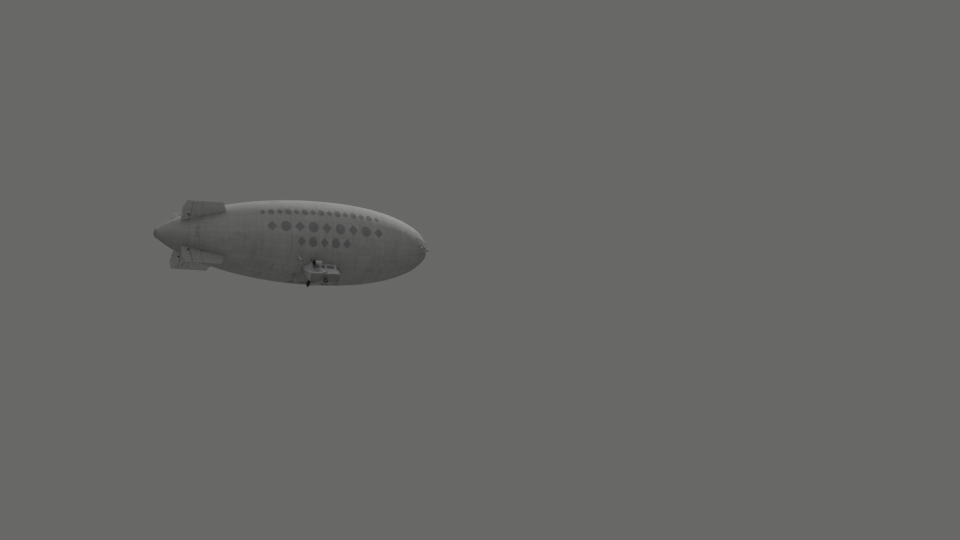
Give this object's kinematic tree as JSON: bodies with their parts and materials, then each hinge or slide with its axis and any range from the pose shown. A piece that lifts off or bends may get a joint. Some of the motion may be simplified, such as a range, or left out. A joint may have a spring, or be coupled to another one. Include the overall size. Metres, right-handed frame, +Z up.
{
  "type": "non-rigid advertising airship with a two-engined passenger car",
  "caption": "Silver non-rigid advertising airship with a plus-shaped tail, an enclosed car with pusher engines on outriggers, and a swivelling landing wheel.",
  "frame": {"origin": "centre of lift on the hull's axis, 18 m behind the nose tip", "axes": "+X forward along the hull's axis, +Y to port, +Z up"},
  "size_m": [38.556, 11.4, 14.25],
  "materials": {
    "envelope_fabric": "aluminium-doped cloth",
    "fin_fabric": "aluminium-doped cloth over a frame",
    "car_sheet": "satin painted sheet",
    "car_glass": "clear",
    "alloy_tube": "brushed",
    "dark_steel": "semi-gloss dark paint",
    "engine_metal": "bare castings",
    "rigging_wire": "galvanised wire",
    "varnished_wood": "varnished laminated wood",
    "seat_leather": "worn brown leather",
    "tyre_rubber": "matt rubber"
  },
  "bodies": {
    "hull": {"envelope": "envelope_fabric", "nose_battens": "alloy_tube", "mooring_cone": "dark_steel", "top_fin": "fin_fabric", "port_fin": "fin_fabric", "bottom_fin": "fin_fabric", "starboard_fin": "fin_fabric", "stays_upper_port": "rigging_wire", "stays_lower_port": "rigging_wire", "stays_lower_starboard": "rigging_wire", "stays_upper_starboard": "rigging_wire", "car_floor": "car_sheet", "car_roof": "car_sheet", "port_side": "car_sheet", "starboard_side": "car_sheet", "port_glass": "car_glass", "starboard_rear_glass": "car_glass", "starboard_front_glass": "car_glass", "windshield": "car_glass", "car_nose": "car_sheet", "car_tail": "car_sheet", "car_fairing": "fin_fabric", "pilot_seat": "seat_leather", "copilot_seat": "seat_leather", "passenger_bench": "seat_leather", "instrument_panel": "dark_steel", "elevator_wheel": "varnished_wood", "rudder_pedals": "dark_steel", "grab_rail": "alloy_tube", "boarding_step": "alloy_tube", "gear_housing": "car_sheet", "port_nacelle": "car_sheet", "port_engine": "engine_metal", "port_outrigger": "alloy_tube", "starboard_nacelle": "car_sheet", "starboard_engine": "engine_metal", "starboard_outrigger": "alloy_tube", "port_air_scoop": "fin_fabric", "starboard_air_scoop": "fin_fabric", "gas_valve": "alloy_tube", "front_air_valve": "alloy_tube", "rear_air_valve": "alloy_tube"},
    "upper_rudder_body": {"upper_rudder": "fin_fabric"},
    "lower_rudder_body": {"lower_rudder": "fin_fabric"},
    "port_elevator_body": {"port_elevator": "fin_fabric"},
    "starboard_elevator_body": {"starboard_elevator": "fin_fabric"},
    "door_leaf": {"door": "car_sheet", "door_glass": "car_glass"},
    "port_propeller_body": {"port_propeller": "varnished_wood"},
    "starboard_propeller_body": {"starboard_propeller": "varnished_wood"},
    "gear_swivel": {"gear_fork": "dark_steel"},
    "landing_wheel": {"wheel_rim": "alloy_tube", "tyre": "tyre_rubber"}
  },
  "joints": [
    {"name": "rudder", "type": "hinge", "parent": "hull", "child": "upper_rudder_body", "pos_m": [-16, 0, 3.8], "axis": [0, 0, 1], "range_deg": [-25, 25]},
    {"name": "lower_rudder_hinge", "type": "hinge", "parent": "hull", "child": "lower_rudder_body", "pos_m": [-16, 0, -4.3], "axis": [0, 0, 1], "range_deg": [-25, 25]},
    {"name": "elevator", "type": "hinge", "parent": "hull", "child": "port_elevator_body", "pos_m": [-16, 4.2, 0], "axis": [0, 1, 0], "range_deg": [-25, 25]},
    {"name": "starboard_elevator_hinge", "type": "hinge", "parent": "hull", "child": "starboard_elevator_body", "pos_m": [-16, -4.2, 0], "axis": [0, 1, 0], "range_deg": [-25, 25]},
    {"name": "door_hinge", "type": "hinge", "parent": "hull", "child": "door_leaf", "pos_m": [2.044, -0.766, -6.8], "axis": [0, 0, 1], "range_deg": [0, 95]},
    {"name": "port_propeller_spin", "type": "hinge", "parent": "hull", "child": "port_propeller_body", "pos_m": [-0.1, 1.75, -6.75], "axis": [1, 0, 0], "continuous": true},
    {"name": "starboard_propeller_spin", "type": "hinge", "parent": "hull", "child": "starboard_propeller_body", "pos_m": [-0.1, -1.75, -6.75], "axis": [1, 0, 0], "continuous": true},
    {"name": "wheel_swivel", "type": "hinge", "parent": "hull", "child": "gear_swivel", "pos_m": [1.9, 0, -7.85], "axis": [0, 0, 1], "continuous": true},
    {"name": "wheel_spin", "type": "hinge", "parent": "gear_swivel", "child": "landing_wheel", "pos_m": [1.81, 0, -8.29], "axis": [0, 1, 0], "continuous": true}
  ],
  "couplings": [
    {"joint": "lower_rudder_hinge", "follows": "rudder", "ratio": 1},
    {"joint": "starboard_elevator_hinge", "follows": "elevator", "ratio": 1}
  ]
}
